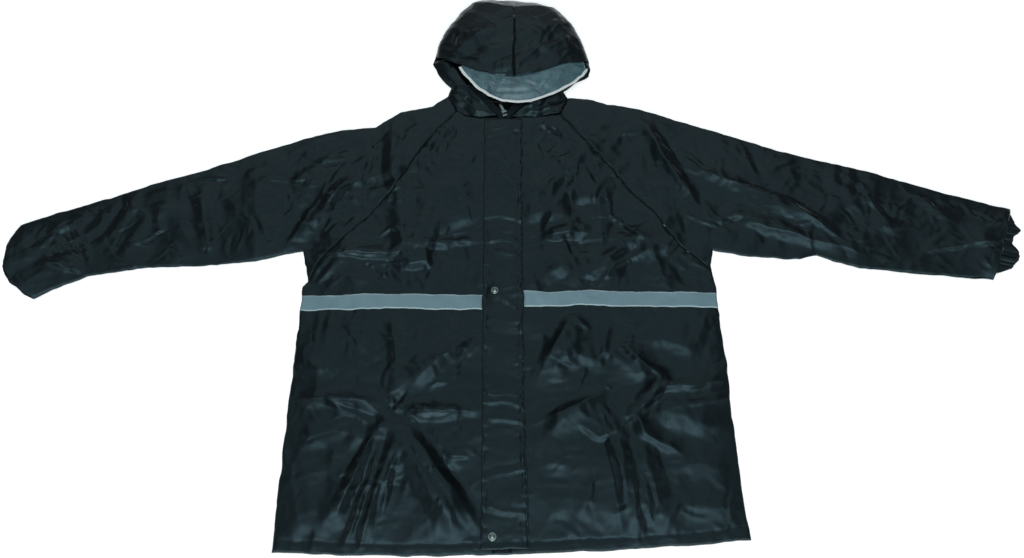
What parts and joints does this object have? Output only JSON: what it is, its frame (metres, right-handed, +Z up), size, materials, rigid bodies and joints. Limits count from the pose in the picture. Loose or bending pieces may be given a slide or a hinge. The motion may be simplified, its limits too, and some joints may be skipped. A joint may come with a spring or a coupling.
{
  "type": "hooded rain jacket",
  "caption": "Hooded raglan rain jacket laid flat, front up, arms out, with a zip under a snapped storm flap, a reflective chest band, elastic cuffs and a clear visor under the hood's brim.",
  "frame": {"origin": "on the surface that the jacket lies on, under the back panel, at mid-length", "axes": "+X towards the wearer's left, +Y from the hem to the hood, +Z up off the surface"},
  "size_m": [1.6538, 1.0539, 0.0406],
  "materials": {
    "shell": "satin",
    "tape": "satin",
    "film": "gloss",
    "binding": "matte",
    "zip": "matte",
    "metal": "satin"
  },
  "bodies": {
    "root": {"back": "shell", "front_right": "shell", "front_left": "shell", "sleeve_right": "shell", "sleeve_left": "shell", "cuff_right": "shell", "cuff_left": "shell", "storm_flap": "shell", "collar_back": "shell", "collar_right": "shell", "collar_left": "shell", "hood_back": "shell", "hood_crown_right": "shell", "hood_crown_left": "shell", "hood_cheek_right": "shell", "hood_cheek_left": "shell", "tape_right": "tape", "tape_left": "tape", "visor": "film", "visor_binding": "binding", "zip_tape_right": "zip", "zip_tape_left": "zip", "zip_slider": "metal", "snap_1": "metal", "snap_2": "metal"},
    "pull": {"zip_pull": "metal"}
  },
  "joints": [
    {"name": "pull_swing", "type": "hinge", "parent": "root", "child": "pull", "pos_m": [-0.014, 0.334, 0.01127], "axis": [0.9272, 0.3746, 0], "range_deg": [0, 165]}
  ]
}
